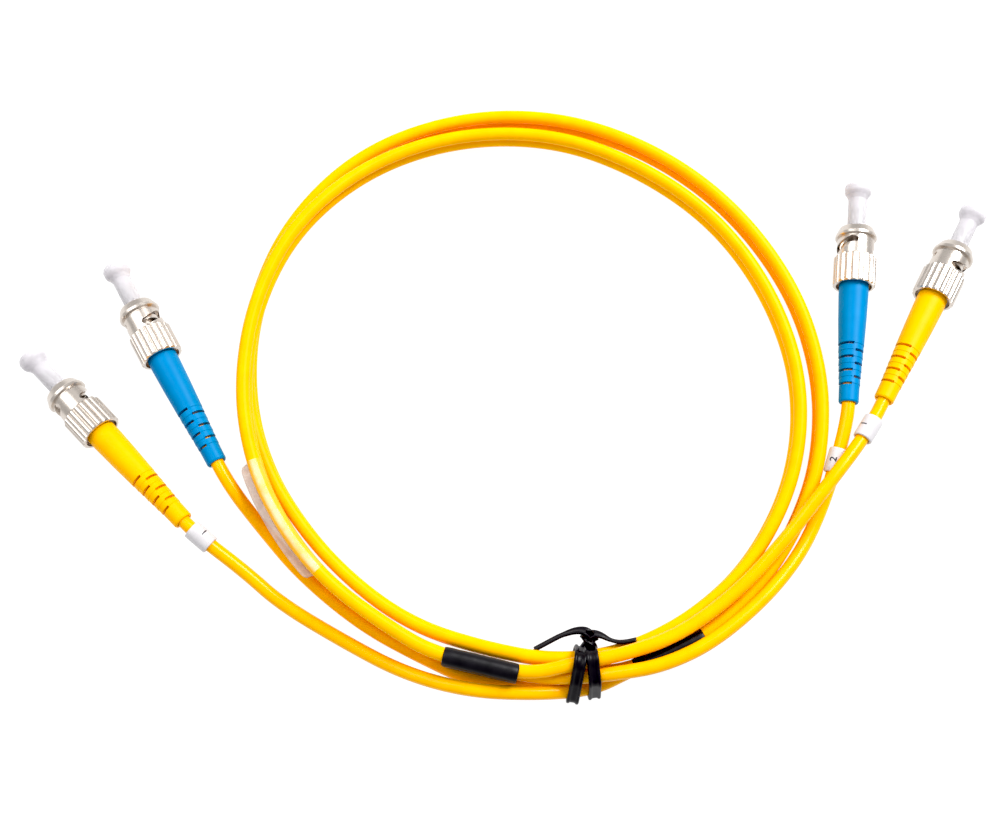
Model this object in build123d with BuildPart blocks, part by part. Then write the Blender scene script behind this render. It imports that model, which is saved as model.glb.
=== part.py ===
from build123d import *
import math
import os

# Duplex ST fibre patch cord, 1 m long, coiled in two turns and tied.
# Millimetres, +Z up, lying on the plane Z = 0. The origin is below the middle
# of the four connectors. Ends a and b each have channels 1 and 2.

os.makedirs("parts", exist_ok=True)

# ---------------------------------------------------------------- dimensions
# Connector, local x forward along its axis, x = 0 at the coupling nut's rim.
FERRULE_R = 1.25
FERRULE_TIP_X = 4.5
FERRULE_REAR_X = -9.0
FERRULE_CHAMFER = 0.3

BODY_FRONT_X = -0.9
BODY_R = 2.3
BODY_FLANGE_R = 3.25
BODY_FLANGE_X = (-4.2, -5.2)
BODY_GROOVE_X = (-12.3, -12.8)
BODY_GROOVE_R = 1.95
BODY_REAR_X = -13.4
POST_R = 1.45
POST_REAR_X = -20.0
POST_BORE_R = 0.55
KEY_W = 0.9
KEY_R = 2.95
KEY_X = (-1.2, -3.6)

SPRING_R = 2.75
SPRING_WIRE = 0.45
SPRING_X = (-5.25, -10.95)
SPRING_TURNS = 5

WASHER_X = (-11.0, -11.38)
WASHER_R = (2.36, 3.4)

NUT_LEN = 14.1
NUT_RIM_R = 3.72
NUT_FLANGE_R = 4.6
NUT_FLANGE_X = (-1.75, -2.45)
NUT_NECK_R = 4.12
NUT_BORE_R = 3.55
NUT_WALL_X = (-11.4, -12.3)
NUT_WALL_HOLE_R = 2.36
NUT_TAIL_R = 3.95
KNURL_X = (-7.1, -14.1)
KNURL_LOBES = 18
KNURL_LOBE_R = 0.81
KNURL_PITCH_R = 3.93
KNURL_CORE_R = 4.36
SLOT_W = 1.9
SLOT_END_A = (-4.0, -2.6)
SLOT_END_B = (-5.9, 2.6)
CHANNEL_W = 2.0
CHANNEL_R = 3.85
CHANNEL_DEPTH = 3.4

CLIP_X = (-12.36, -12.74)
CLIP_R = (1.97, 3.1)
CLIP_GAP = 2.6

CRIMP_X = (-13.6, -20.3, -25.0)
CRIMP_FRONT_R = (1.475, 2.2)
CRIMP_REAR_R = (1.53, 1.9)

BOOT_FRONT_X = -13.5
BOOT_REAR_X = -41.8
BOOT_SLOT_FIRST_X = -28.5
BOOT_SLOT_PITCH = 1.55
BOOT_SLOT_COUNT = 7
BOOT_SLOT_W = 0.55
BOOT_SLOT_CHORD = (0.0, 0.35)
BOOT_RING_R = (2.74, 2.24)
BOOT_RING_STEP = (-0.03, 0.07)

CAP_REAR_X = -0.7
CAP_TIP_X = 11.4
CAP_TUBE_R = 2.05
CAP_HEAD_R = 3.05
CAP_BORE_R = 1.27
CAP_BORE_END_X = 5.0

FIBRE_R = 0.45
FIBRE_X = (-9.02, -20.55)

# Cord
CORD_R = 1.475
ZIP_HALF_PITCH = 1.6
ZIP_WEB = 0.8
CORD_STOP_X = -20.6
CORD_ROUTE_END_X = -36.5

SLEEVE_LEN = 16.0
SLEEVE_INNER = 1.8
SLEEVE_OUTER = 2.1

MARKER_LEN = 5.5
MARKER_R = (1.68, 2.1)
MARKER_SLIT = 1.1

FILM_INNER = 1.56
FILM_T = 0.14
FILM_FLAG = 1.6
FILM_SPAN = (0.0540, 0.0912)

TIE_T = 0.65
TIE_W = 2.6

# ---------------------------------------------------------------- placement
# Connector rim centre, heading about +Z, nose-down pitch, roll of the nut,
# distance from the boot's rear to the route's last bend.
CONNECTORS = {
    "a1": ((-99.80, -9.30, 4.51), 134.8, 2.3, 90.0, 4.0),
    "a2": ((-84.71, 10.11, 4.51), 119.86, 2.3, 61.0, 6.0),
    "b1": ((101.80, 24.05, 4.45), 60.97, 4.0, 54.0, 8.0),
    "b2": ((79.35, 28.74, 4.51), 82.91, 2.3, -65.0, 5.0),
}
# Sleeve centre and heading of its axis, left to right.
SLEEVES = {
    "b": ((-6.47, -69.34, 6.50), -13.182),
    "a": ((33.07, -66.66, 3.95), 23.857),
}
SLEEVE_RUN = 9.5
SLEEVE_RUN_SHORT = 8.6

TRUNK_ROUTE = [
    (-24.42, -62.47, 6.77), (-38.38, -52.78, 6.94), (-48.23, -41.34, 7.82),
    (-55.58, -27.28, 9.34), (-58.87, -9.57, 9.75), (-56.55, 10.43, 9.78),
    (-48.02, 28.85, 9.19), (-32.17, 44.24, 6.31), (-11.55, 52.50, 4.17),
    (10.98, 52.76, 3.10), (30.90, 44.59, 3.11), (47.49, 31.71, 3.10),
    (58.99, 13.99, 3.10), (64.76, -6.65, 3.10), (62.41, -28.10, 3.10),
    (52.32, -47.10, 3.10), (38.85, -59.20, 3.10), (23.18, -66.76, 3.73),
    (8.22, -68.38, 4.36), (-6.50, -65.50, 3.23), (-20.64, -60.97, 3.10),
    (-33.12, -52.62, 3.10), (-44.17, -41.50, 3.10), (-53.64, -27.39, 3.10),
    (-58.89, -10.20, 3.10), (-58.61, 10.17, 3.10), (-50.81, 31.15, 3.10),
    (-34.42, 48.52, 3.10), (-11.23, 57.37, 3.10), (12.49, 57.17, 3.10),
    (34.06, 48.76, 3.10), (51.68, 34.47, 3.10), (64.34, 14.90, 3.10),
    (69.36, -5.35, 3.10), (68.02, -24.01, 3.10), (62.44, -38.68, 3.10),
    (53.75, -51.81, 3.10),
]
# Sleeve, side of the zip cord (+1 upper, -1 lower), first run, bends.
LEG_ROUTES = {
    "a1": ("a", -1, SLEEVE_RUN_SHORT, [
        (16.94, -74.16, 2.18), (4.65, -75.07, 5.09), (-9.37, -74.46, 5.36),
        (-23.10, -70.66, 2.88), (-36.39, -63.75, 1.50), (-49.65, -56.04, 1.50),
        (-57.42, -49.30, 2.40)]),
    "a2": ("a", 1, SLEEVE_RUN_SHORT, [
        (15.75, -70.88, 4.09), (5.97, -72.18, 1.50), (-6.52, -73.11, 1.50),
        (-19.49, -67.22, 1.50), (-32.16, -60.50, 1.51), (-45.45, -49.83, 1.50),
        (-54.40, -39.61, 1.86)]),
    "b1": ("b", 1, SLEEVE_RUN, [
        (12.95, -69.15, 8.65), (23.31, -67.19, 9.49), (34.52, -63.44, 9.00),
        (46.58, -55.04, 8.11), (57.03, -44.69, 8.10), (67.95, -31.18, 9.75)]),
    "b2": ("b", -1, SLEEVE_RUN, [
        (12.46, -71.93, 6.13), (21.12, -71.20, 8.82), (31.57, -69.52, 9.89),
        (43.27, -63.91, 8.89), (57.31, -51.87, 6.50), (66.42, -38.80, 3.75)]),
}
# Marker rings: centre, measured from the boot's rear along the leg.
MARKERS = {"a1": 5.1, "b1": 7.8, "b2": 13.4}

# Tie loops: plane origin, direction across the bundle, circles that the band
# goes round (across, height, radius).
TIE_LOOPS = [
    ((13.68, -70.5), (0.16, 0.987), [
        (2.84, 2.72, 2.00), (2.84, 5.72, 2.00), (1.49, 8.75, 2.19),
        (-1.29, 6.55, 2.00), (-3.98, 3.12, 2.06)]),
    ((16.8, -70.5), (-0.11, 0.994), [
        (3.04, 2.47, 1.75), (3.04, 5.65, 1.75), (2.04, 8.95, 1.80),
        (-1.06, 7.50, 2.05), (-3.30, 2.47, 1.77)]),
]
TIE_KNOT = ((16.0, -63.85, 5.8), (4.2, 3.6, 3.0))
TIE_ENDS = [
    [(14.8, -63.2, 5.8), (10.2, -63.7, 5.2), (4.6, -65.2, 3.9)],
    [(17.2, -63.2, 5.8), (21.3, -63.9, 6.3), (25.9, -63.3, 7.1)],
]


def direction(heading, pitch):
    h, p = math.radians(heading), math.radians(pitch)
    return Vector(math.cos(h) * math.cos(p), math.sin(h) * math.cos(p), -math.sin(p))


def frame_of(name):
    origin, heading, pitch, _, _ = CONNECTORS[name]
    f = direction(heading, pitch)
    side = Vector(0, 0, 1).cross(f).normalized()
    return Plane(origin=origin, x_dir=f, z_dir=f.cross(side))


def bend_radii(points):
    radii = []
    for p, q, r in zip(points, points[1:], points[2:]):
        turn = (q - p).get_angle(r - q)
        run = min((q - p).length, (r - q).length)
        radii.append(0.45 * run / math.tan(math.radians(turn / 2)))
    return radii


# ---------------------------------------------------------------- connector
# Ceramic ferrule with a chamfered tip.
with BuildPart() as ferrule:
    with BuildSketch(Plane.XY):
        with BuildLine():
            Polyline(
                (FERRULE_REAR_X, 0), (FERRULE_TIP_X, 0),
                (FERRULE_TIP_X, FERRULE_R - FERRULE_CHAMFER),
                (FERRULE_TIP_X - 2 * FERRULE_CHAMFER, FERRULE_R),
                (FERRULE_REAR_X, FERRULE_R), close=True)
        make_face()
    revolve(axis=Axis.X)

# Metal plug body: front sleeve with key, flange, shank, clip groove, crimp post.
with BuildPart() as plug_body:
    with BuildSketch(Plane.XY):
        with BuildLine():
            Polyline(
                (BODY_FRONT_X, FERRULE_R + 0.01), (BODY_FRONT_X, BODY_R - 0.2),
                (BODY_FRONT_X - 0.2, BODY_R), (BODY_FLANGE_X[0], BODY_R),
                (BODY_FLANGE_X[0], BODY_FLANGE_R), (BODY_FLANGE_X[1], BODY_FLANGE_R),
                (BODY_FLANGE_X[1], BODY_R), (BODY_GROOVE_X[0], BODY_R),
                (BODY_GROOVE_X[0], BODY_GROOVE_R), (BODY_GROOVE_X[1], BODY_GROOVE_R),
                (BODY_GROOVE_X[1], BODY_R), (BODY_REAR_X, BODY_R),
                (BODY_REAR_X, POST_R), (POST_REAR_X, POST_R),
                (POST_REAR_X, POST_BORE_R), (FERRULE_REAR_X - 0.01, POST_BORE_R),
                (FERRULE_REAR_X - 0.01, FERRULE_R + 0.01), close=True)
        make_face()
    revolve(axis=Axis.X)
    with BuildSketch(Plane.XY):
        with Locations(((KEY_X[0] + KEY_X[1]) / 2, 0)):
            Rectangle(KEY_X[0] - KEY_X[1], KEY_W)
    extrude(amount=KEY_R)
    # the key stands only outside the sleeve, so the ferrule's hole is cut again
    with BuildSketch(Plane.YZ.offset(KEY_X[1] - 0.2)):
        Circle(FERRULE_R + 0.01)
    extrude(amount=KEY_X[0] - KEY_X[1] + 0.4, mode=Mode.SUBTRACT)

# Coil spring round the shank.
with BuildPart() as spring:
    with BuildLine() as spring_path:
        Helix(
            pitch=(SPRING_X[0] - SPRING_X[1] - SPRING_WIRE - 0.04) / SPRING_TURNS,
            height=SPRING_X[0] - SPRING_X[1] - SPRING_WIRE - 0.04,
            radius=SPRING_R,
            center=(SPRING_X[1] + SPRING_WIRE / 2 + 0.02, 0, 0),
            direction=(1, 0, 0))
    with BuildSketch(Plane(origin=spring_path.line @ 0, z_dir=spring_path.line % 0)):
        Circle(SPRING_WIRE / 2)
    sweep(path=spring_path.line, is_frenet=True)

# Thrust washer between spring and nut.
with BuildPart() as thrust_washer:
    with BuildSketch(Plane.YZ.offset(WASHER_X[1])):
        Circle(WASHER_R[1])
        Circle(WASHER_R[0], mode=Mode.SUBTRACT)
    extrude(amount=WASHER_X[0] - WASHER_X[1])

# Bayonet coupling nut: coned rim, flange, neck with two ramp slots, lobed grip.
with BuildPart() as coupling_nut:
    with BuildSketch(Plane.XY):
        with BuildLine():
            Polyline(
                (0, NUT_BORE_R), (0, NUT_RIM_R), (-0.2, NUT_RIM_R + 0.14),
                (NUT_FLANGE_X[0] + 0.2, NUT_FLANGE_R - 0.14), (NUT_FLANGE_X[0], NUT_FLANGE_R - 0.02),
                (NUT_FLANGE_X[1] + 0.15, NUT_FLANGE_R), (NUT_FLANGE_X[1], NUT_FLANGE_R - 0.12),
                (NUT_FLANGE_X[1], NUT_NECK_R - 0.09), (NUT_FLANGE_X[1] - 0.4, NUT_NECK_R - 0.09),
                (NUT_FLANGE_X[1] - 0.55, NUT_NECK_R), (KNURL_X[0], NUT_NECK_R),
                (KNURL_X[0], KNURL_CORE_R - 0.12), (KNURL_X[0] - 0.4, KNURL_CORE_R),
                (KNURL_X[1] + 0.3, KNURL_CORE_R), (KNURL_X[1], KNURL_CORE_R - 0.2),
                (KNURL_X[1], NUT_TAIL_R), (NUT_WALL_X[1], NUT_TAIL_R),
                (NUT_WALL_X[1], NUT_WALL_HOLE_R), (NUT_WALL_X[0], NUT_WALL_HOLE_R),
                (NUT_WALL_X[0], NUT_BORE_R), close=True)
        make_face()
    revolve(axis=Axis.X)
    # grip lobes, kept outside the tail cavity and chamfered at both ends
    with BuildSketch(Plane.YZ.offset(KNURL_X[1])):
        with PolarLocations(KNURL_PITCH_R, KNURL_LOBES):
            Circle(KNURL_LOBE_R)
        Circle(NUT_TAIL_R + 0.2, mode=Mode.SUBTRACT)
    extrude(amount=KNURL_X[0] - KNURL_X[1])
    with BuildSketch(Plane.XY):
        with BuildLine():
            Polyline(
                (KNURL_X[0] + 0.1, KNURL_CORE_R - 0.2), (KNURL_X[0] - 0.75, 5.2),
                (KNURL_X[0] + 0.1, 5.2), close=True)
        make_face()
        with BuildLine():
            Polyline(
                (KNURL_X[1] - 0.1, KNURL_CORE_R - 0.1), (KNURL_X[1] + 0.6, 5.2),
                (KNURL_X[1] - 0.1, 5.2), close=True)
        make_face()
    revolve(axis=Axis.X, mode=Mode.SUBTRACT)
    # ramp slots through the neck and entry channels from the rim, 180 degrees apart
    for half in (0, 180):
        with BuildSketch(Plane.XY.rotated((half, 0, 0)).offset(1.6)):
            with Locations(((SLOT_END_A[0] + SLOT_END_B[0]) / 2,
                            (SLOT_END_A[1] + SLOT_END_B[1]) / 2)):
                SlotCenterToCenter(
                    math.dist(SLOT_END_A, SLOT_END_B), SLOT_W,
                    rotation=math.degrees(math.atan2(
                        SLOT_END_A[1] - SLOT_END_B[1], SLOT_END_A[0] - SLOT_END_B[0])))
        extrude(amount=4, mode=Mode.SUBTRACT)
    with BuildSketch(Plane.YZ.offset(-CHANNEL_DEPTH)):
        with Locations((SLOT_END_A[1], 2.4), (-SLOT_END_A[1], -2.4)):
            Rectangle(CHANNEL_W, 4.0)
        Circle(CHANNEL_R, mode=Mode.INTERSECT)
    extrude(amount=CHANNEL_DEPTH + 0.1, mode=Mode.SUBTRACT)

# C-clip in the shank's groove.
with BuildPart() as retaining_clip:
    with BuildSketch(Plane.YZ.offset(CLIP_X[1])):
        Circle(CLIP_R[1])
        Circle(CLIP_R[0], mode=Mode.SUBTRACT)
        with Locations((0, -CLIP_R[1])):
            Rectangle(CLIP_GAP, 2 * (CLIP_R[1] - 1.0), mode=Mode.SUBTRACT)
    extrude(amount=CLIP_X[0] - CLIP_X[1])

# Stepped crimp sleeve over the post and the cord's end.
with BuildPart() as crimp_sleeve:
    with BuildSketch(Plane.XY):
        with BuildLine():
            Polyline(
                (CRIMP_X[0], CRIMP_FRONT_R[0]), (CRIMP_X[0], CRIMP_FRONT_R[1]),
                (CRIMP_X[1], CRIMP_FRONT_R[1]), (CRIMP_X[1] - 0.3, CRIMP_REAR_R[1]),
                (CRIMP_X[2], CRIMP_REAR_R[1]), (CRIMP_X[2], CRIMP_REAR_R[0]),
                (CRIMP_X[1], CRIMP_REAR_R[0]), (CRIMP_X[1], CRIMP_FRONT_R[0]), close=True)
        make_face()
    revolve(axis=Axis.X)

# Strain-relief boot with part-ring slots from alternate sides, deeper on the left.
# Each ring between two slots widens a little towards the cord.
boot_slots = [BOOT_SLOT_FIRST_X - i * BOOT_SLOT_PITCH for i in range(BOOT_SLOT_COUNT)]
boot_rings = []
for i, x in enumerate(boot_slots):
    r = BOOT_RING_R[0] + (BOOT_RING_R[1] - BOOT_RING_R[0]) * i / (BOOT_SLOT_COUNT - 1)
    boot_rings += [(x + 0.05, r + BOOT_RING_STEP[1]), (x - 0.05, r + BOOT_RING_STEP[0])]
with BuildPart() as boot:
    with BuildSketch(Plane.XY):
        with BuildLine():
            Polyline(
                (BOOT_FRONT_X, 2.25), (BOOT_FRONT_X, 3.1), (BOOT_FRONT_X - 0.15, 3.25),
                (-16.0, 3.27), (-22.0, 3.08), (-26.6, 2.87), *boot_rings,
                (BOOT_REAR_X + 0.3, 2.16), (BOOT_REAR_X, 2.0),
                (BOOT_REAR_X, 1.6), (-25.2, 1.6), (-25.2, 1.95),
                (-20.7, 1.95), (-20.4, 2.25), close=True)
        make_face()
    revolve(axis=Axis.X)
    with BuildSketch(Plane.XY.offset(-4)):
        for i, x in enumerate(boot_slots):
            hand = 1 if i % 2 == 0 else -1
            with Locations((x, hand * (BOOT_SLOT_CHORD[i % 2] + 2.0))):
                Rectangle(BOOT_SLOT_W, 4.0)
    extrude(amount=8, mode=Mode.SUBTRACT)

# Flared dust cap over the ferrule, blind bore, rounded end.
with BuildPart() as dust_cap:
    with BuildSketch(Plane.XY):
        with BuildLine():
            Polyline(
                (CAP_REAR_X, CAP_BORE_R + 0.25), (CAP_REAR_X, CAP_TUBE_R - 0.15),
                (CAP_REAR_X + 0.15, CAP_TUBE_R), (7.6, CAP_TUBE_R), (8.5, CAP_TUBE_R + 0.35),
                (9.2, CAP_HEAD_R - 0.15), (9.6, CAP_HEAD_R), (CAP_TIP_X - 0.7, CAP_HEAD_R),
                (CAP_TIP_X - 0.2, CAP_HEAD_R - 0.25), (CAP_TIP_X, CAP_HEAD_R - 0.75),
                (CAP_TIP_X, 0), (CAP_BORE_END_X + 0.4, 0),
                (CAP_BORE_END_X, CAP_BORE_R), (CAP_REAR_X + 0.5, CAP_BORE_R), close=True)
        make_face()
    revolve(axis=Axis.X)

# Buffered fibre between the ferrule and the cord's end.
with BuildPart() as fibre:
    with BuildSketch(Plane.YZ.offset(FIBRE_X[1])):
        Circle(FIBRE_R)
    extrude(amount=FIBRE_X[0] - FIBRE_X[1])

# Placed copies of the connector's pieces.
CONNECTOR_PIECES = {
    "ferrule": ferrule, "plug_body": plug_body, "spring": spring,
    "thrust_washer": thrust_washer, "coupling_nut": coupling_nut,
    "retaining_clip": retaining_clip, "crimp_sleeve": crimp_sleeve,
    "boot": boot, "dust_cap": dust_cap, "fibre": fibre,
}
for end, placing in CONNECTORS.items():
    place = Location(frame_of(end))
    for piece_name, piece in CONNECTOR_PIECES.items():
        turned = Location((0, 0, 0), (placing[3], 0, 0)) if piece is coupling_nut else Location()
        node = piece.part.moved(place * turned)
        node.label = f"{piece_name}_{end}"
        export_step(node, f"parts/{node.label}.step")

# ---------------------------------------------------------------- cord
UP = Vector(0, 0, 1)
sleeve_at = {
    side: (Vector(*centre), direction(heading, 0)) for side, (centre, heading) in SLEEVES.items()
}

# Zip cord: two round cords on edge, joined by a web.
trunk_points = (
    [sleeve_at["b"][0], sleeve_at["b"][0] - sleeve_at["b"][1] * SLEEVE_RUN]
    + [Vector(*p) for p in TRUNK_ROUTE]
    + [sleeve_at["a"][0] + sleeve_at["a"][1] * SLEEVE_RUN, sleeve_at["a"][0]])
trunk_radii = bend_radii(trunk_points)
with BuildPart() as duplex_cord:
    with BuildLine() as trunk_path:
        FilletPolyline(*trunk_points, radius=trunk_radii)
    trunk_wire = trunk_path.wire()
    trunk_start = Plane(origin=trunk_points[0], x_dir=(trunk_wire % 0).cross(UP), z_dir=trunk_wire % 0)
    with BuildSketch(trunk_start):
        with Locations((0, ZIP_HALF_PITCH), (0, -ZIP_HALF_PITCH)):
            Circle(CORD_R)
        Rectangle(ZIP_WEB, 2 * ZIP_HALF_PITCH)
    sweep(path=trunk_wire, binormal=trunk_wire.moved(Location((0, 0, 10))))
duplex_cord.part.label = "duplex_cord"
export_step(duplex_cord.part, "parts/duplex_cord.step")
zip_area = 2 * math.pi * CORD_R**2
print("duplex_cord length %.1f volume %.0f section x length %.0f radii %s" % (
    trunk_wire.length, duplex_cord.part.volume, zip_area * trunk_wire.length,
    [round(r, 1) for r in trunk_radii]))

# Single legs from the sleeves into the boots.
leg_wires = {}
for end, (sleeve, level, first_run, bends) in LEG_ROUTES.items():
    frame = frame_of(end)
    outward = -1 if sleeve == "a" else 1
    start = sleeve_at[sleeve][0] + UP * (level * ZIP_HALF_PITCH)
    leg_points = (
        [start, start + sleeve_at[sleeve][1] * (outward * first_run)]
        + [Vector(*p) for p in bends]
        + [frame.from_local_coords(Vector(BOOT_REAR_X - CONNECTORS[end][4], 0, 0)),
           frame.from_local_coords(Vector(CORD_ROUTE_END_X, 0, 0))])
    leg_radii = bend_radii(leg_points)
    with BuildPart() as leg:
        with BuildLine() as leg_path:
            FilletPolyline(*leg_points, radius=leg_radii)
        leg_wire = leg_path.wire()
        with BuildSketch(Plane(origin=leg_points[0], z_dir=leg_wire % 0)):
            Circle(CORD_R)
        sweep(path=leg_wire)
        with BuildSketch(Plane(origin=leg_points[-1], z_dir=frame.x_dir)):
            Circle(CORD_R)
        extrude(amount=CORD_STOP_X - CORD_ROUTE_END_X)
    leg.part.label = f"leg_{end}"
    export_step(leg.part, f"parts/leg_{end}.step")
    leg_wires[end] = leg_wire
    whole = leg_wire.length + CORD_STOP_X - CORD_ROUTE_END_X
    print("leg_%s route %.1f length %.1f volume %.0f section x length %.0f radii %s" % (
        end, leg_wire.length, whole, leg.part.volume, math.pi * CORD_R**2 * whole,
        [round(r, 1) for r in leg_radii]))

# Shrink sleeves where the zip cord splits into legs.
for side, (centre, axis) in sleeve_at.items():
    with BuildPart() as split_sleeve:
        with BuildSketch(Plane(origin=centre - axis * (SLEEVE_LEN / 2), x_dir=UP, z_dir=axis)):
            SlotCenterToCenter(2 * ZIP_HALF_PITCH, 2 * SLEEVE_OUTER)
            SlotCenterToCenter(2 * ZIP_HALF_PITCH, 2 * SLEEVE_INNER, mode=Mode.SUBTRACT)
        extrude(amount=SLEEVE_LEN)
    split_sleeve.part.label = f"split_sleeve_{side}"
    export_step(split_sleeve.part, f"parts/split_sleeve_{side}.step")

# Snap-on marker rings, slit underneath.
for end, distance in MARKERS.items():
    wire = leg_wires[end]
    along = wire.length - (CORD_ROUTE_END_X - BOOT_REAR_X) - distance
    middle = wire.position_at(along, position_mode=PositionMode.LENGTH)
    tangent = wire.tangent_at(along, position_mode=PositionMode.LENGTH)
    with BuildPart() as marker:
        with BuildSketch(Plane(
                origin=middle - tangent * (MARKER_LEN / 2),
                x_dir=UP.cross(tangent), z_dir=tangent)):
            Circle(MARKER_R[1])
            Circle(MARKER_R[0], mode=Mode.SUBTRACT)
            with Locations((0, -MARKER_R[1])):
                Rectangle(MARKER_SLIT, 2.0, mode=Mode.SUBTRACT)
        extrude(amount=MARKER_LEN)
    marker.part.label = f"marker_{end}"
    export_step(marker.part, f"parts/marker_{end}.step")

# Clear label film wrapped round the zip cord, its ends pressed into a flag.
film_wire = trunk_wire.trim(*FILM_SPAN)
with BuildPart() as label_film:
    with BuildSketch(Plane(
            origin=film_wire @ 0, x_dir=(film_wire % 0).cross(UP), z_dir=film_wire % 0)):
        SlotCenterToCenter(2 * ZIP_HALF_PITCH, 2 * (FILM_INNER + FILM_T), rotation=90)
        with Locations((-(FILM_INNER + FILM_T / 2 + FILM_FLAG / 2), 0.6)):
            Rectangle(FILM_FLAG + FILM_T, 2 * FILM_T)
        SlotCenterToCenter(2 * ZIP_HALF_PITCH, 2 * FILM_INNER, rotation=90, mode=Mode.SUBTRACT)
    sweep(path=film_wire, binormal=film_wire.moved(Location((0, 0, 10))))
label_film.part.label = "label_film"
export_step(label_film.part, "parts/label_film.step")
print("label_film length %.1f" % film_wire.length)

# Tie: two loops round the bundle, a twisted knot on the inner side, two free ends.
with BuildPart() as cord_tie:
    for (ox, oy), (dx, dy), circles in TIE_LOOPS:
        across = Vector(dx, dy, 0).normalized()
        with BuildSketch(Plane(origin=(ox, oy, 0), x_dir=across, z_dir=across.cross(UP))):
            with BuildSketch(mode=Mode.PRIVATE) as round_inside:
                for u, h, r in circles:
                    with Locations((u, h)):
                        Circle(r)
                make_hull()
            add(offset(round_inside.sketch, amount=TIE_T, mode=Mode.PRIVATE))
            add(round_inside.sketch, mode=Mode.SUBTRACT)
        extrude(amount=TIE_W / 2, both=True)
    with BuildSketch(Plane(origin=TIE_KNOT[0])):
        RectangleRounded(TIE_KNOT[1][0], TIE_KNOT[1][1], 0.9)
    extrude(amount=TIE_KNOT[1][2] / 2, both=True)
    for points in TIE_ENDS:
        with BuildLine() as end_path:
            FilletPolyline(*points, radius=6)
        end_wire = end_path.wire()
        with BuildSketch(Plane(
                origin=end_wire @ 0, x_dir=(end_wire % 0).cross(UP), z_dir=end_wire % 0)):
            Rectangle(TIE_T, TIE_W)
        sweep(path=end_wire, binormal=end_wire.moved(Location((0, 0, 10))))
cord_tie.part.label = "cord_tie"
export_step(cord_tie.part, "parts/cord_tie.step")
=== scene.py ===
import bpy
import bmesh
import math
from mathutils import Matrix, Vector


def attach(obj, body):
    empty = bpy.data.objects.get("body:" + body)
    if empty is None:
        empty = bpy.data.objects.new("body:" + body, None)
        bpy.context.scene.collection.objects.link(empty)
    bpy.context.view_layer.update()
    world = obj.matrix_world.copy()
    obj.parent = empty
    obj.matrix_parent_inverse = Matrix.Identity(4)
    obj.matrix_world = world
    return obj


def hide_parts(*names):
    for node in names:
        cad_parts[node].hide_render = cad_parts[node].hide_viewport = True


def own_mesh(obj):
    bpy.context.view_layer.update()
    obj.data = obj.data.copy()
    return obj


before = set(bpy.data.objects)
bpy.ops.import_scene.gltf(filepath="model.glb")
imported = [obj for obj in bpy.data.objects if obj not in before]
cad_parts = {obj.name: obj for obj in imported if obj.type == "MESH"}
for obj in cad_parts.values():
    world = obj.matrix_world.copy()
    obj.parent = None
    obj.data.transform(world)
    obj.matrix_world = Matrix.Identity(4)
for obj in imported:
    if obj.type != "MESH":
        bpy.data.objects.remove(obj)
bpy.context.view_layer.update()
MM = 0.001
ROOT = "cord"
UP = Vector((0, 0, 1))

# ------------------------------------------------------------------ numbers
# Connector: rim centre (mm), heading, nose-down pitch, boot rear to last bend.
CONNECTORS = {
    "a1": ((-99.80, -9.30, 4.51), 134.8, 2.3, 4.0),
    "a2": ((-84.71, 10.11, 4.51), 119.86, 2.3, 6.0),
    "b1": ((101.80, 24.05, 4.45), 60.97, 4.0, 8.0),
    "b2": ((79.35, 28.74, 4.51), 82.91, 2.3, 5.0),
}
SLEEVES = {
    "b": ((-6.47, -69.34, 6.50), -13.182),
    "a": ((33.07, -66.66, 3.95), 23.857),
}
SLEEVE_RUN = 9.5
SLEEVE_RUN_SHORT = 8.6
SLEEVE_LEN = 16.0
BOOT_REAR_X = -41.8
CORD_ROUTE_END_X = -36.5
CORD_STOP_X = -20.6
CORD_R = 1.475
H = 1.6

TRUNK_ROUTE = [
    (-24.42, -62.47, 6.77), (-38.38, -52.78, 6.94), (-48.23, -41.34, 7.82),
    (-55.58, -27.28, 9.34), (-58.87, -9.57, 9.75), (-56.55, 10.43, 9.78),
    (-48.02, 28.85, 9.19), (-32.17, 44.24, 6.31), (-11.55, 52.50, 4.17),
    (10.98, 52.76, 3.10), (30.90, 44.59, 3.11), (47.49, 31.71, 3.10),
    (58.99, 13.99, 3.10), (64.76, -6.65, 3.10), (62.41, -28.10, 3.10),
    (52.32, -47.10, 3.10), (38.85, -59.20, 3.10), (23.18, -66.76, 3.73),
    (8.22, -68.38, 4.36), (-6.50, -65.50, 3.23), (-20.64, -60.97, 3.10),
    (-33.12, -52.62, 3.10), (-44.17, -41.50, 3.10), (-53.64, -27.39, 3.10),
    (-58.89, -10.20, 3.10), (-58.61, 10.17, 3.10), (-50.81, 31.15, 3.10),
    (-34.42, 48.52, 3.10), (-11.23, 57.37, 3.10), (12.49, 57.17, 3.10),
    (34.06, 48.76, 3.10), (51.68, 34.47, 3.10), (64.34, 14.90, 3.10),
    (69.36, -5.35, 3.10), (68.02, -24.01, 3.10), (62.44, -38.68, 3.10),
    (53.75, -51.81, 3.10),
]
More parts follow.
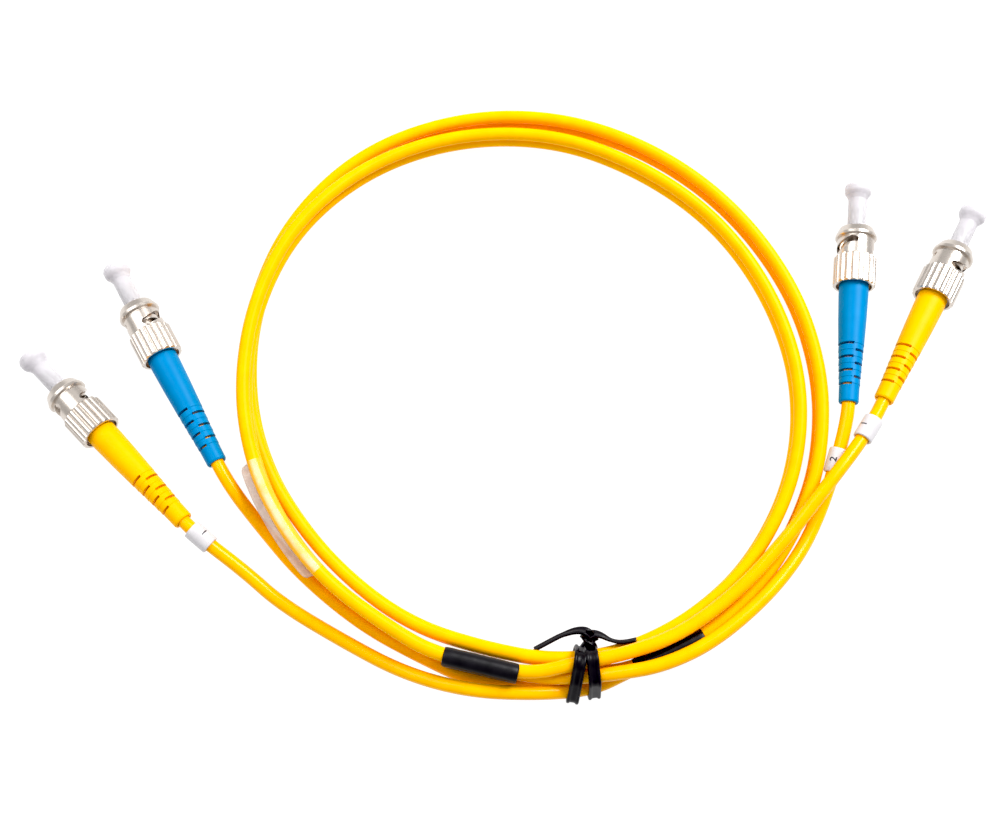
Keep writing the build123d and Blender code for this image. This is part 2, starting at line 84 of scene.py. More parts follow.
LEG_ROUTES = {
    "a1": ("a", -1, SLEEVE_RUN_SHORT, [
        (16.94, -74.16, 2.18), (4.65, -75.07, 5.09), (-9.37, -74.46, 5.36),
        (-23.10, -70.66, 2.88), (-36.39, -63.75, 1.50), (-49.65, -56.04, 1.50),
        (-57.42, -49.30, 2.40)]),
    "a2": ("a", 1, SLEEVE_RUN_SHORT, [
        (15.75, -70.88, 4.09), (5.97, -72.18, 1.50), (-6.52, -73.11, 1.50),
        (-19.49, -67.22, 1.50), (-32.16, -60.50, 1.51), (-45.45, -49.83, 1.50),
        (-54.40, -39.61, 1.86)]),
    "b1": ("b", 1, SLEEVE_RUN, [
        (12.95, -69.15, 8.65), (23.31, -67.19, 9.49), (34.52, -63.44, 9.00),
        (46.58, -55.04, 8.11), (57.03, -44.69, 8.10), (67.95, -31.18, 9.75)]),
    "b2": ("b", -1, SLEEVE_RUN, [
        (12.46, -71.93, 6.13), (21.12, -71.20, 8.82), (31.57, -69.52, 9.89),
        (43.27, -63.91, 8.89), (57.31, -51.87, 6.50), (66.42, -38.80, 3.75)]),
}


def heading_vec(heading, pitch=0.0):
    h, p = math.radians(heading), math.radians(pitch)
    return Vector((math.cos(h) * math.cos(p), math.sin(h) * math.cos(p), -math.sin(p)))


def axis_of(end):
    o, heading, pitch, _ = CONNECTORS[end]
    return Vector(o), heading_vec(heading, pitch)


SLEEVE_AT = {s: (Vector(c), heading_vec(h)) for s, (c, h) in SLEEVES.items()}


# ------------------------------------------------------------------ helpers
def link(ob):
    bpy.context.scene.collection.objects.link(ob)
    return ob


def nurbs(name, points):
    cu = bpy.data.curves.new(name, "CURVE")
    cu.dimensions = "3D"
    cu.resolution_u = 14
    sp = cu.splines.new("NURBS")
    sp.points.add(len(points) - 1)
    for p, q in zip(sp.points, points):
        p.co = (q[0] * MM, q[1] * MM, q[2] * MM, 1.0)
    sp.order_u = 3
    sp.use_endpoint_u = True
    return link(bpy.data.objects.new(name, cu))


def line_of(curve):
    me = bpy.data.meshes.new_from_object(curve)
    pts = [v.co.copy() for v in me.vertices]
    bpy.data.meshes.remove(me)
    return pts


def mesh_object(name, verts, faces, smooth=True):
    me = bpy.data.meshes.new(name)
    me.from_pydata([tuple(v) for v in verts], [], faces)
    me.validate()
    bm = bmesh.new()
    bm.from_mesh(me)
    bmesh.ops.recalc_face_normals(bm, faces=bm.faces)
    bm.to_mesh(me)
    bm.free()
    for p in me.polygons:
        p.use_smooth = smooth
    return link(bpy.data.objects.new(name, me))


def tangents(pts):
    out = []
    for i in range(len(pts)):
        a, b = pts[max(i - 1, 0)], pts[min(i + 1, len(pts) - 1)]
        out.append((b - a).normalized())
    return out


def loft(name, sections, closed=False, cap=True, smooth=True):
    """Skin a list of equal-length closed sections."""
    n = len(sections[0])
    verts = [v for s in sections for v in s]
    faces = []
    rows = len(sections)
    for i in range(rows if closed else rows - 1):
        j = (i + 1) % rows
        for k in range(n):
            m = (k + 1) % n
            faces.append((i * n + k, i * n + m, j * n + m, j * n + k))
    if cap and not closed:
        faces.append(tuple(range(n)))
        faces.append(tuple((rows - 1) * n + k for k in range(n)))
    return mesh_object(name, verts, faces, smooth)


def upright(pts):
    """For each point, the sideways and upward directions of a section kept on edge."""
    out = []
    for t in tangents(pts):
        side = t.cross(UP).normalized()
        out.append((side, side.cross(t).normalized()))
    return out


# ------------------------------------------------------------------ materials
def new_mat(name):
    m = bpy.data.materials.new(name)
    m.use_nodes = True
    nt = m.node_tree
    return m, nt, nt.nodes["Principled BSDF"]


def node(nt, kind, **values):
    n = nt.nodes.new(kind)
    for k, v in values.items():
        if k in n.inputs:
            n.inputs[k].default_value = v
        else:
            setattr(n, k, v)
    return n


def object_coords(nt):
    return nt.nodes.new("ShaderNodeTexCoord").outputs["Object"]


def noise(nt, scale, detail=3.0, rough=0.5):
    n = node(nt, "ShaderNodeTexNoise")
    n.inputs["Scale"].default_value = scale
    n.inputs["Detail"].default_value = detail
    n.inputs["Roughness"].default_value = rough
    nt.links.new(object_coords(nt), n.inputs["Vector"])
    return n.outputs["Fac"]


def ramp(nt, fac, stops):
    r = nt.nodes.new("ShaderNodeValToRGB")
    els = r.color_ramp.elements
    while len(els) < len(stops):
        els.new(0.5)
    for e, (p, c) in zip(els, stops):
        e.position = p
        e.color = (c[0], c[1], c[2], 1.0) if len(c) == 3 else c
    nt.links.new(fac, r.inputs["Fac"])
    return r.outputs["Color"]


def span(nt, fac, lo, hi):
    r = nt.nodes.new("ShaderNodeMapRange")
    r.inputs["To Min"].default_value = lo
    r.inputs["To Max"].default_value = hi
    nt.links.new(fac, r.inputs["Value"])
    return r.outputs["Result"]


def bump(nt, bsdf, height, strength, distance):
    b = nt.nodes.new("ShaderNodeBump")
    b.inputs["Strength"].default_value = strength
    b.inputs["Distance"].default_value = distance
    nt.links.new(height, b.inputs["Height"])
    nt.links.new(b.outputs["Normal"], bsdf.inputs["Normal"])
    return b


def jacket(name, lo, hi, rough, gloss, coat):
    m, nt, p = new_mat(name)
    nt.links.new(ramp(nt, noise(nt, 260, 4, 0.6), [(0.3, lo), (0.7, hi)]), p.inputs["Base Color"])
    nt.links.new(span(nt, noise(nt, 900, 3), rough - 0.06, rough + 0.08), p.inputs["Roughness"])
    p.inputs["Specular IOR Level"].default_value = gloss
    p.inputs["Coat Weight"].default_value = coat
    p.inputs["Coat Roughness"].default_value = 0.12
    bump(nt, p, noise(nt, 2600, 3, 0.6), 0.12, 0.00004)
    return m


YELLOW_TRUNK = jacket("yellow_jacket_zip", (0.90, 0.43, 0.0), (0.97, 0.48, 0.0), 0.42, 0.10, 0.0)
YELLOW_LEG = jacket("yellow_jacket_leg", (0.90, 0.41, 0.0), (0.97, 0.46, 0.0), 0.24, 0.14, 0.08)


def elastomer(name, lo, hi, rough):
    m, nt, p = new_mat(name)
    nt.links.new(ramp(nt, noise(nt, 180, 5, 0.6), [(0.3, lo), (0.7, hi)]), p.inputs["Base Color"])
    nt.links.new(span(nt, noise(nt, 700, 3), rough - 0.05, rough + 0.08), p.inputs["Roughness"])
    p.inputs["Specular IOR Level"].default_value = 0.12
    bump(nt, p, noise(nt, 5200, 2, 0.5), 0.16, 0.00003)
    return m


BOOT_YELLOW = elastomer("boot_yellow_elastomer", (0.90, 0.42, 0.0), (0.97, 0.47, 0.0), 0.44)
BOOT_BLUE = elastomer("boot_blue_elastomer", (0.0, 0.18, 0.43), (0.0, 0.21, 0.49), 0.40)


def along_axis(nt, end):
    """Millimetres along the connector's axis from its rim."""
    o, f = axis_of(end)
    sub = nt.nodes.new("ShaderNodeVectorMath")
    sub.operation = "SUBTRACT"
    sub.inputs[1].default_value = tuple(o * MM)
    nt.links.new(object_coords(nt), sub.inputs[0])
    dot = nt.nodes.new("ShaderNodeVectorMath")
    dot.operation = "DOT_PRODUCT"
    dot.inputs[1].default_value = tuple(f * 1000.0)
    nt.links.new(sub.outputs[0], dot.inputs[0])
    return dot.outputs["Value"]


def nickel(name, end):
    """Bright nickel plate with fine turned lines round the axis."""
    m, nt, p = new_mat(name)
    p.inputs["Metallic"].default_value = 1.0
    nt.links.new(ramp(nt, noise(nt, 420, 5, 0.6), [
        (0.25, (0.61, 0.550, 0.495)), (0.75, (0.67, 0.61, 0.555))]), p.inputs["Base Color"])
    nt.links.new(span(nt, noise(nt, 900, 3, 0.5), 0.25, 0.31), p.inputs["Roughness"])
    wave = nt.nodes.new("ShaderNodeTexNoise")
    wave.noise_dimensions = "1D"
    wave.inputs["Scale"].default_value = 9.0
    wave.inputs["Detail"].default_value = 4.0
    nt.links.new(along_axis(nt, end), wave.inputs["W"])
    bump(nt, p, wave.outputs["Fac"], 0.03, 0.00002)
    return m


def plain_metal(name, lo, hi, rough):
    m, nt, p = new_mat(name)
    p.inputs["Metallic"].default_value = 1.0
    nt.links.new(ramp(nt, noise(nt, 600, 4), [(0.3, lo), (0.7, hi)]), p.inputs["Base Color"])
    nt.links.new(span(nt, noise(nt, 2200, 3), rough - 0.06, rough + 0.08), p.inputs["Roughness"])
    return m


STEEL = plain_metal("spring_steel_bright", (0.45, 0.45, 0.45), (0.6, 0.6, 0.6), 0.3)
CRIMP = plain_metal("crimp_metal_satin", (0.55, 0.55, 0.56), (0.66, 0.66, 0.67), 0.4)


def dielectric(name, lo, hi, rough, scale=300, grain=3000, strength=0.1, gloss=0.5):
    m, nt, p = new_mat(name)
    p.inputs["Specular IOR Level"].default_value = gloss
    nt.links.new(ramp(nt, noise(nt, scale, 4), [(0.3, lo), (0.7, hi)]), p.inputs["Base Color"])
    nt.links.new(span(nt, noise(nt, scale * 3, 3), rough - 0.05, rough + 0.07), p.inputs["Roughness"])
    bump(nt, p, noise(nt, grain, 3), strength, 0.00004)
    return m


CERAMIC = dielectric("white_ceramic", (0.86, 0.85, 0.82), (0.9, 0.89, 0.87), 0.12, strength=0.02)
BUFFER = dielectric("buffer_coat", (0.75, 0.7, 0.5), (0.82, 0.78, 0.6), 0.45)
MARKER = dielectric("marker_white", (0.54, 0.52, 0.54), (0.60, 0.585, 0.60), 0.32)
INK = dielectric("marker_digit_ink", (0.012, 0.012, 0.02), (0.03, 0.03, 0.045), 0.5)
SHRINK = dielectric("black_shrink_tube", (0.003, 0.0025, 0.004), (0.008, 0.007, 0.010), 0.40,
                    grain=4200, strength=0.2, gloss=0.28)
TIE_BLACK = dielectric("black_tie_plastic", (0.004, 0.003, 0.005), (0.010, 0.009, 0.012), 0.34,
                       grain=3600, strength=0.15, gloss=0.2)

CAP, _nt, _p = new_mat("milky_cap")
_nt.links.new(ramp(_nt, noise(_nt, 240, 4), [
    (0.3, (0.525, 0.505, 0.53)), (0.7, (0.545, 0.525, 0.55))]), _p.inputs["Base Color"])
_nt.links.new(span(_nt, noise(_nt, 600, 3), 0.34, 0.40), _p.inputs["Roughness"])
_p.inputs["Subsurface Weight"].default_value = 1.0
_p.inputs["Subsurface Radius"].default_value = (1.0, 1.0, 1.0)
_p.inputs["Subsurface Scale"].default_value = 0.004
_p.inputs["Transmission Weight"].default_value = 0.05
_p.inputs["Specular IOR Level"].default_value = 0.2
_p.inputs["IOR"].default_value = 1.46
bump(_nt, _p, noise(_nt, 1600, 2), 0.02, 0.00002)

# Film: clear at the sides, with a painted highlight along its crest: a whitish layer made opaque
# where the surface faces up.
FILM, _nt, _p = new_mat("clear_film")
_nt.links.new(ramp(_nt, noise(_nt, 160, 4), [
    (0.3, (0.88, 0.80, 0.72)), (0.7, (0.96, 0.91, 0.85))]), _p.inputs["Base Color"])
_nt.links.new(span(_nt, noise(_nt, 600, 3), 0.08, 0.2), _p.inputs["Roughness"])
# Painted highlight: the whitish layer turns opaque where the normal points up, broken into random
# patches.
_normal = _nt.nodes.new("ShaderNodeSeparateXYZ")
_nt.links.new(_nt.nodes.new("ShaderNodeTexCoord").outputs["Normal"], _normal.inputs[0])
_upward_highlight_mask = ramp(_nt, _normal.outputs["Z"], [(0.82, (0.05, 0.05, 0.05)), (0.99, (0.48, 0.48, 0.48))])
_highlight_patches = ramp(_nt, noise(_nt, 330, 4, 0.6), [(0.35, (0.45, 0.45, 0.45)), (0.62, (1.0, 1.0, 1.0))])
_painted_highlight = _nt.nodes.new("ShaderNodeMath")
_painted_highlight.operation = "MULTIPLY"
_nt.links.new(_upward_highlight_mask, _painted_highlight.inputs[0])
_nt.links.new(_highlight_patches, _painted_highlight.inputs[1])
_nt.links.new(_painted_highlight.outputs[0], _p.inputs["Alpha"])
_p.inputs["IOR"].default_value = 1.5
bump(_nt, _p, noise(_nt, 420, 3), 0.35, 0.0002)

FLAG, _nt, _p = new_mat("film_flag_haze")
_nt.links.new(ramp(_nt, noise(_nt, 420, 4), [
    (0.3, (0.60, 0.44, 0.35)), (0.7, (0.74, 0.58, 0.48))]), _p.inputs["Base Color"])
_nt.links.new(span(_nt, noise(_nt, 800, 3), 0.16, 0.30), _p.inputs["Roughness"])
_p.inputs["Alpha"].default_value = 0.62
_p.inputs["IOR"].default_value = 1.5
bump(_nt, _p, noise(_nt, 520, 3), 0.3, 0.0002)


def wear(name, material):
    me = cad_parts[name].data
    me.materials.clear()
    me.materials.append(material)


for end in CONNECTORS:
    wear(f"coupling_nut_{end}", nickel(f"nickel_nut_{end}", end))
    wear(f"plug_body_{end}", nickel(f"nickel_body_{end}", end))
    wear(f"boot_{end}", BOOT_YELLOW if end.endswith("1") else BOOT_BLUE)
    wear(f"dust_cap_{end}", CAP)
    wear(f"ferrule_{end}", CERAMIC)
    wear(f"fibre_{end}", BUFFER)
    wear(f"crimp_sleeve_{end}", CRIMP)
    for n in ("spring", "thrust_washer", "retaining_clip"):
        wear(f"{n}_{end}", STEEL)

# ------------------------------------------------------------------ springs
SPRING_R, SPRING_WIRE, SPRING_TURNS = 2.75, 0.45, 5
SPRING_FRONT, SPRING_REAR = -5.25, -10.95
for end in CONNECTORS:
    o, f = axis_of(end)
    side = f.cross(UP).normalized()
    top = side.cross(f)
    first, last = SPRING_REAR + SPRING_WIRE / 2 + 0.02, SPRING_FRONT - SPRING_WIRE / 2 - 0.02
    coil_sections = []
    for k in range(SPRING_TURNS * 32 + 1):
        a = 2 * math.pi * k / 32
        x = first + (last - first) * k / (SPRING_TURNS * 32)
        out = side * math.cos(a) + top * math.sin(a)
        ahead = ((top * math.cos(a) - side * math.sin(a)) * (2 * math.pi * SPRING_R)
                 + f * ((last - first) / SPRING_TURNS)).normalized()
        up = out.cross(ahead)
        coil_sections.append([
            (o + f * x + out * SPRING_R
             + (out * math.cos(g) + up * math.sin(g)) * (SPRING_WIRE / 2)) * MM
            for g in (2 * math.pi * q / 12 for q in range(12))])
    coil = loft(f"coil_spring_{end}", coil_sections)
    coil.data.materials.append(STEEL)
    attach(coil, ROOT)
    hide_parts(f"spring_{end}")
    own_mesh(coil)

# ------------------------------------------------------------------ cords
trunk_points = (
    [SLEEVE_AT["b"][0], SLEEVE_AT["b"][0] - SLEEVE_AT["b"][1] * SLEEVE_RUN]
    + [Vector(p) for p in TRUNK_ROUTE]
    + [SLEEVE_AT["a"][0] + SLEEVE_AT["a"][1] * SLEEVE_RUN, SLEEVE_AT["a"][0]])
guide = nurbs("trunk_guide", trunk_points)
trunk_line = line_of(guide)
bpy.data.objects.remove(guide)


def figure_eight(r=CORD_R, web=0.4, n=22):
    gap = math.asin(web / r)
    out = []
    for k in range(n + 1):
        a = -math.pi / 2 + gap + (2 * math.pi - 2 * gap) * k / n
        out.append((r * math.cos(a), H + r * math.sin(a)))
    for k in range(n + 1):
        a = math.pi / 2 + gap + (2 * math.pi - 2 * gap) * k / n
        out.append((r * math.cos(a), -H + r * math.sin(a)))
    return out


eight = figure_eight()
trunk = loft("zip_cord", [
    [c + s * (x * MM) + u * (z * MM) for x, z in eight]
    for c, (s, u) in zip(trunk_line, upright(trunk_line))])
trunk.data.materials.append(YELLOW_TRUNK)
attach(trunk, ROOT)
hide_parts("duplex_cord")

legs, leg_lines = {}, {}
for end, (sleeve, level, first_run, bends) in LEG_ROUTES.items():
    o, f = axis_of(end)
    outward = -1 if sleeve == "a" else 1
    start = SLEEVE_AT[sleeve][0] + UP * (level * H)
    pts = (
        [start, start + SLEEVE_AT[sleeve][1] * (outward * first_run)]
        + [Vector(p) for p in bends]
        + [o + f * (BOOT_REAR_X - CONNECTORS[end][3]), o + f * CORD_ROUTE_END_X, o + f * CORD_STOP_X])
    leg = nurbs(f"cord_leg_{end}", pts[::-1])
    leg_lines[end] = line_of(leg)
    leg.data.bevel_depth = CORD_R * MM
    leg.data.bevel_resolution = 8
    leg.data.use_fill_caps = True
    leg.data.materials.append(YELLOW_LEG)
    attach(leg, ROOT)
    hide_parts(f"leg_{end}")
    legs[end] = leg

# ------------------------------------------------------------------ split sleeves
def sleeve_section(r, waist, n=20):
    """Outline round the two cords, a little drawn in between them."""
    out = [(r * math.cos(a), H + r * math.sin(a))
           for a in (math.pi * k / n for k in range(n + 1))]
    for k in range(1, 8):
        t = k / 8
        out.append((-r + waist * math.sin(math.pi * t), H - 2 * H * t))
    out += [(r * math.cos(a), -H + r * math.sin(a))
            for a in (math.pi + math.pi * k / n for k in range(n + 1))]
    for k in range(1, 8):
        t = k / 8
        out.append((r - waist * math.sin(math.pi * t), -H + 2 * H * t))
    return out


for side, (c, f) in SLEEVE_AT.items():
    across = f.cross(UP).normalized()
    half = SLEEVE_LEN / 2
    stations = [(-half + 1.6, 1.55, 0.0), (-half + 0.25, 1.55, 0.0), (-half, 1.60, 0.02),
                (-half, 1.80, 0.10), (-half + 0.10, 1.93, 0.16), (-half + 0.45, 1.99, 0.18)]
    for k in range(1, 24):
        q = -half + 0.45 + (SLEEVE_LEN - 0.9) * k / 24
        swell = 0.045 * math.sin(2.1 * q + (1.0 if side == "a" else 2.4)) * math.sin(0.9 * q)
        stations.append((q, 2.06 - 0.03 * (q / half) ** 2 + swell * 0.6, 0.20 + swell))
    stations += [(half - 0.45, 1.99, 0.18), (half - 0.10, 1.93, 0.16), (half, 1.80, 0.10),
                 (half, 1.60, 0.02), (half - 0.25, 1.55, 0.0), (half - 1.6, 1.55, 0.0)]
    tube = loft(f"shrink_sleeve_{side}", [
        [(c + f * q + across * x + UP * z) * MM for x, z in sleeve_section(r, w)]
        for q, r, w in stations], cap=False)
    tube.data.materials.append(SHRINK)
    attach(tube, ROOT)
    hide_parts(f"split_sleeve_{side}")


# ------------------------------------------------------------------ tie
TIE_W, TIE_T = 2.6, 0.65
TIE_LOOPS = [
    ((13.68, -70.5), (0.16, 0.987), [
        (2.84, 2.72, 2.00), (2.84, 5.72, 2.00), (1.49, 8.75, 2.19),
        (-1.29, 6.55, 2.00), (-3.98, 3.12, 2.06)]),
    ((16.8, -70.5), (-0.11, 0.994), [
        (3.04, 2.47, 1.75), (3.04, 5.65, 1.75), (2.04, 8.95, 1.80),
        (-1.06, 7.50, 2.05), (-3.30, 2.47, 1.77)]),
]
RIBBON = [(-1.22, 0.0), (-1.3, 0.10), (-1.3, 0.40), (-1.2, 0.58), (-0.98, 0.65), (-0.74, 0.60),
          (-0.56, 0.42), (-0.3, 0.36), (0.0, 0.35), (0.3, 0.36), (0.56, 0.42), (0.74, 0.60),
          (0.98, 0.65), (1.2, 0.58), (1.3, 0.40), (1.3, 0.10), (1.22, 0.0)]


def hull_of(points):
    points = sorted(set((round(x, 5), round(y, 5)) for x, y in points))

    def half_hull(seq):
        h = []
        for q in seq:
            while len(h) > 1 and ((h[-1][0] - h[-2][0]) * (q[1] - h[-2][1])
                                  - (h[-1][1] - h[-2][1]) * (q[0] - h[-2][0])) <= 0:
                h.pop()
            h.append(q)
        return h[:-1]
    return half_hull(points) + half_hull(points[::-1])


def even(ring, n):
    """n points at equal steps round a closed outline."""
    segs = [(a, b, math.dist(a, b)) for a, b in zip(ring, ring[1:] + ring[:1])]
    total = sum(d for _, _, d in segs)
    out, i, run = [], 0, 0.0
    for k in range(n):
        want = total * k / n
        while run + segs[i][2] < want:
            run += segs[i][2]
            i += 1
        a, b, d = segs[i]
        t = (want - run) / d
        out.append((a[0] + (b[0] - a[0]) * t, a[1] + (b[1] - a[1]) * t))
    return out


def ribbon_sections(points, outs, widths, thick=1.0):
    return [[p + o * (t * thick * MM) + w * (x * MM) for x, t in RIBBON]
            for p, o, w in zip(points, outs, widths)]


tie_parts = []
for loop_no, ((ox, oy), (dx, dy), circles) in enumerate(TIE_LOOPS):
    across = Vector((dx, dy, 0)).normalized()
    normal = across.cross(UP)
    ring = even(hull_of([
        (u + r * math.cos(math.pi * k / 36), h + r * math.sin(math.pi * k / 36))
        for u, h, r in circles for k in range(72)]), 130)
    pts, outs, wid = [], [], []
    for i, (u, h) in enumerate(ring):
        a, b = ring[i - 3], ring[(i + 3) % len(ring)]
        t = Vector((b[0] - a[0], b[1] - a[1])).normalized()
        o2 = Vector((t.y, -t.x))
        out3 = across * o2.x + UP * o2.y
        pts.append((Vector((ox, oy, 0)) + across * u + UP * h) * MM)
        rock = 0.10 * math.sin(4 * math.pi * i / len(ring) + 1.7 * loop_no)
        outs.append((out3 + normal * rock * 0.3).normalized())
        wid.append((normal - out3 * rock * 0.3).normalized())
    tie_parts.append(loft(f"tie_loop_{loop_no + 1}", ribbon_sections(pts, outs, wid), closed=True))

# twisted knot on the inner side
knot_sections = []
for i in range(33):
    t = i / 32
    c = Vector((16.0 + 0.15 * math.sin(5 * t), -65.75 + 3.55 * t, 6.0 + 0.35 * t))
    a = 1.95 - 0.45 * t - 0.25 * math.sin(math.pi * t)
    b = 1.30 - 0.15 * t
    turn = 0.25 + 3.5 * t
    sec = []
    for k in range(48):
        g = 2 * math.pi * k / 48
        cx, sx = math.cos(g), math.sin(g)
        x = a * math.copysign(abs(cx) ** 0.6, cx)
        z = b * math.copysign(abs(sx) ** 0.6, sx) * (1.0 - 0.22 * math.exp(-(x / (0.35 * a)) ** 2))
        sec.append((c + Vector((x * math.cos(turn) - z * math.sin(turn), 0,
                                x * math.sin(turn) + z * math.cos(turn)))) * MM)
    knot_sections.append(sec)
tie_parts.append(loft("tie_knot", knot_sections))

# free ends
for name, route, lean in (
        ("tie_end_left", [(17.3, -64.6, 6.6), (16.4, -62.6, 7.5), (13.9, -62.0, 7.1),
                          (10.6, -63.0, 6.2), (7.6, -64.5, 5.4), (4.7, -66.0, 4.7)], (0.95, 0.25)),
        ("tie_end_right", [(14.9, -64.2, 6.4), (16.2, -62.9, 7.1), (18.4, -62.9, 6.9),
                           (20.8, -64.3, 6.5), (23.4, -64.7, 6.8), (26.0, -64.1, 7.3)], (0.9, 0.2))):
    spine = nurbs(name + "_spine", route)
    pts = line_of(spine)
    bpy.data.objects.remove(spine)
    outs, wid = [], []
    for i, (s, u) in enumerate(upright(pts)):
        q = lean[0] + (lean[1] - lean[0]) * min(1.0, 1.6 * i / (len(pts) - 1))
        sign = 1 if name.endswith("left") else -1
        o = (s * math.cos(q) * sign + u * math.sin(q)).normalized()
        outs.append(o)
        wid.append((u * math.cos(q) - s * math.sin(q) * sign).normalized())
    pts = [q - o * (0.3 * MM) for q, o in zip(pts, outs)]
    tie_parts.append(loft(name, ribbon_sections(pts, outs, wid)))

bpy.ops.object.select_all(action="DESELECT")
for ob in tie_parts:
    ob.data.materials.append(TIE_BLACK)
    ob.select_set(True)
bpy.context.view_layer.objects.active = tie_parts[0]
bpy.ops.object.join()
tie = bpy.context.object
tie.name = "ribbon_tie"
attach(tie, ROOT)
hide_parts("cord_tie")

# ------------------------------------------------------------------ label film
run = [0.0]
for a, b in zip(trunk_line, trunk_line[1:]):
    run.append(run[-1] + (b - a).length)
FILM_FROM, FILM_TO = 0.0401, 0.0677
FILM_STEPS = 48
frames = upright(trunk_line)


def on_trunk(d):
    """Point and section directions of the zip cord at a distance from its start."""
    i = max(k for k, r in enumerate(run) if r <= d)
    t = (d - run[i]) / (run[i + 1] - run[i])
    return (trunk_line[i].lerp(trunk_line[i + 1], t),
            (frames[i][0].lerp(frames[i + 1][0], t), frames[i][1].lerp(frames[i + 1][1], t)))


film_sections, flag_verts, flag_faces = [], [], []
for n in range(FILM_STEPS + 1):
    d = n / FILM_STEPS
    c, (s, u) = on_trunk(FILM_FROM + (FILM_TO - FILM_FROM) * d)
    pinch = 0.05 * math.sin(23 * d) + 0.04 * math.sin(41 * d + 1.0)
    film_sections.append([c + s * (x * MM) + u * (z * MM)
                          for x, z in sleeve_section(1.60 + 0.03 * math.sin(17 * d), 0.05 + pinch)])
    # flag: two layers pressed together, its corners rounded off
    ends = min(d, 1 - d) * (FILM_TO - FILM_FROM) / MM
    reach = 1.75 * math.sqrt(max(0.0, 1 - max(0.0, 1 - ends / 1.8) ** 2)) + 0.02
    wave = 0.16 * math.sin(7 * d + 0.6) + 0.07 * math.sin(19 * d)
    for k in range(6):
        t = k / 5
        lift = 0.62 - 0.25 * t + wave * t
        flag_verts.append(c - s * ((1.5 + reach * t) * MM) + u * (lift * MM))
    if n:
        for k in range(5):
            p0 = (n - 1) * 6 + k
            flag_faces.append((p0, p0 + 1, p0 + 7, p0 + 6))
film = loft("film_wrap", film_sections, cap=False)
film.data.materials.append(FILM)
flag = mesh_object("film_flag", flag_verts, flag_faces)
solid = flag.modifiers.new("thickness", "SOLIDIFY")
solid.thickness = 0.00016
solid.offset = 0.0
flag.data.materials.append(FLAG)
for ob in (film, flag):
    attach(ob, ROOT)
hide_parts("label_film")


# ------------------------------------------------------------------ marker rings
def on_leg(end, distance):
    """Point and direction of a leg at a distance (mm) behind its boot."""
    o, f = axis_of(end)
    pts = leg_lines[end]
    rear = (o + f * BOOT_REAR_X) * MM
    k = min(range(len(pts)), key=lambda j: (pts[j] - rear).length)
    left = distance * MM - (pts[k] - rear).dot(-f)
    while left > (pts[k + 1] - pts[k]).length:
        left -= (pts[k + 1] - pts[k]).length
        k += 1
    t = (pts[k + 1] - pts[k]).normalized()
    return pts[k] + t * left, t


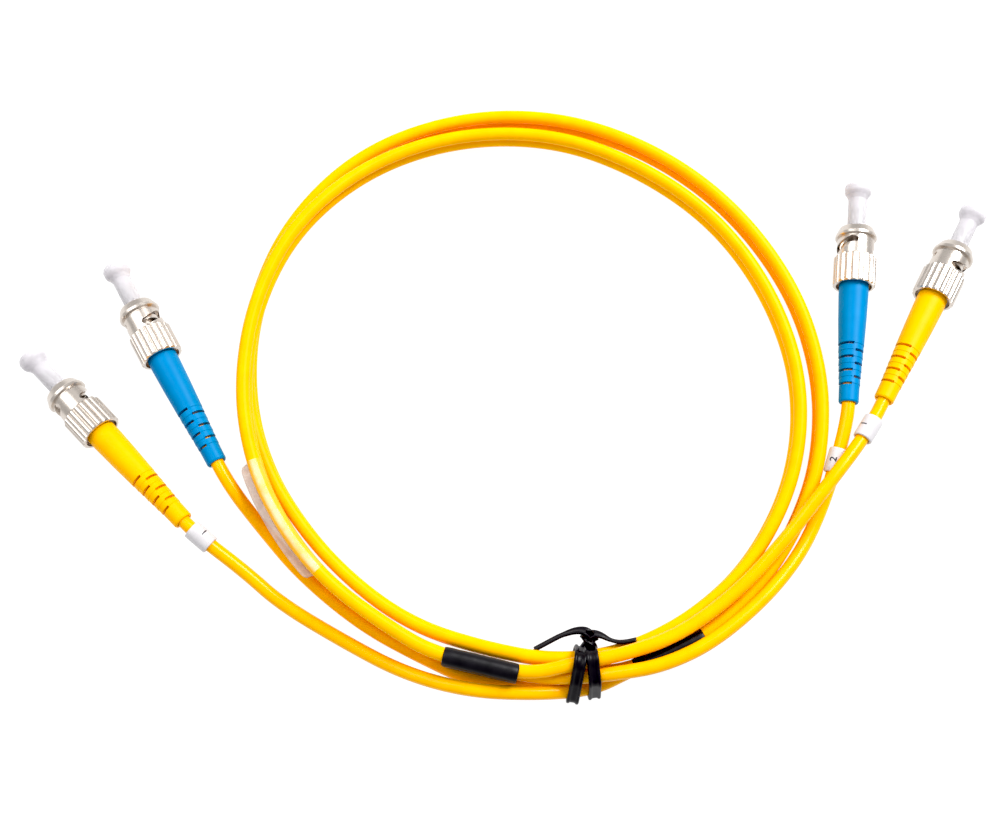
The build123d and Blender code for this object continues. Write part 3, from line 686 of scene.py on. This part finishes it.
MARKERS = {"a1": (5.1, "1", -42.0, 1), "b1": (7.8, "1", 48.0, 1), "b2": (13.4, "2", 30.0, 1)}
for end, (distance, figure, around, _) in MARKERS.items():
    c, t = on_leg(end, distance)
    fwd = -t
    side = fwd.cross(UP).normalized()
    top = side.cross(fwd)
    outline = [(-2.75, 1.62), (-2.75, 1.95), (-2.66, 2.06), (-2.5, 2.11), (-1.6, 2.13), (0.0, 2.14),
               (1.6, 2.13), (2.5, 2.11), (2.66, 2.06), (2.75, 1.95), (2.75, 1.62)]
    slit = 0.55 / 2.1
    rings = []
    for k in range(57):
        a = -math.pi / 2 + slit + (2 * math.pi - 2 * slit) * k / 56
        rings.append([c + (fwd * x + side * (r * math.cos(a)) + top * (r * math.sin(a))) * MM
                      for x, r in outline])
    ring = loft(f"number_ring_{end}", rings)
    ring.data.materials.append(MARKER)
    # figure moulded on the ring, bent to its curve
    cu = bpy.data.curves.new("figure", "FONT")
    cu.body = figure
    cu.size = 2.2
    cu.offset = 0.045
    cu.align_x = "CENTER"
    cu.align_y = "CENTER"
    cu.resolution_u = 6
    tmp = link(bpy.data.objects.new("figure", cu))
    me = bpy.data.meshes.new_from_object(tmp)
    bpy.data.objects.remove(tmp)
    bm = bmesh.new()
    bm.from_mesh(me)
    bmesh.ops.triangulate(bm, faces=bm.faces)
    bmesh.ops.subdivide_edges(bm, edges=bm.edges, cuts=2, use_grid_fill=True)
    for v in bm.verts:
        a = math.radians(90 + around) + v.co.y / 2.16
        x = v.co.x
        v.co = c + (fwd * x + side * (2.155 * math.cos(a)) + top * (2.155 * math.sin(a))) * MM
    bm.to_mesh(me)
    bm.free()
    me.name = f"ring_figure_{end}"
    fig = link(bpy.data.objects.new(f"ring_figure_{end}", me))
    fig.data.materials.append(INK)
    for ob in (ring, fig):
        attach(ob, ROOT)
    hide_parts(f"marker_{end}")

# ------------------------------------------------------------------ connector axis looked up for each leg, not used
for end, leg in legs.items():
    o, f = axis_of(end)

# ------------------------------------------------------------------ stage
bpy.ops.mesh.primitive_plane_add(size=6.0, location=(0, 0, 0))
floor = bpy.context.object
floor.name = "floor"
m, nt, p = new_mat("floor_white")
p.inputs["Base Color"].default_value = (0.15, 0.15, 0.15, 1)
p.inputs["Roughness"].default_value = 0.9
p.inputs["Emission Color"].default_value = (1, 1, 1, 1)
p.inputs["Emission Strength"].default_value = 0.95
p.inputs["Specular IOR Level"].default_value = 0.0
floor.data.materials.append(m)

world = bpy.data.worlds.new("studio")
bpy.context.scene.world = world
world.use_nodes = True
world.node_tree.nodes["Background"].inputs["Color"].default_value = (1, 1, 1, 1)
world.node_tree.nodes["Background"].inputs["Strength"].default_value = 0.62


def softbox(name, where, target, size, watts):
    li = bpy.data.lights.new(name, "AREA")
    li.shape = "RECTANGLE"
    li.size, li.size_y = size
    li.energy = watts
    ob = link(bpy.data.objects.new(name, li))
    ob.location = where
    ob.rotation_euler = (Vector(target) - Vector(where)).to_track_quat("-Z", "Y").to_euler()
    return ob


softbox("key", (0.46, 0.42, 0.66), (0, 0, 0), (0.40, 0.40), 10.4)
softbox("fill", (-0.50, 0.30, 0.75), (0, 0, 0), (0.7, 0.7), 4.4)

cam_data = bpy.data.cameras.new("camera")
cam_data.sensor_fit = "HORIZONTAL"
cam_data.sensor_width = 36.0
cam_data.lens = 45.0
cam_data.clip_start = 0.01
cam = link(bpy.data.objects.new("camera", cam_data))
cam.location = (-2.46 * MM, (-70.33 - 12.92) * MM, 271.95 * MM)
cam.rotation_euler = (math.radians(14.5), 0, 0)
bpy.context.scene.camera = cam
look = bpy.context.scene.view_settings
look.view_transform = "Standard"
look.use_curve_mapping = True
look.curve_mapping.black_level = (0.018, 0.018, 0.018)
look.curve_mapping.update()
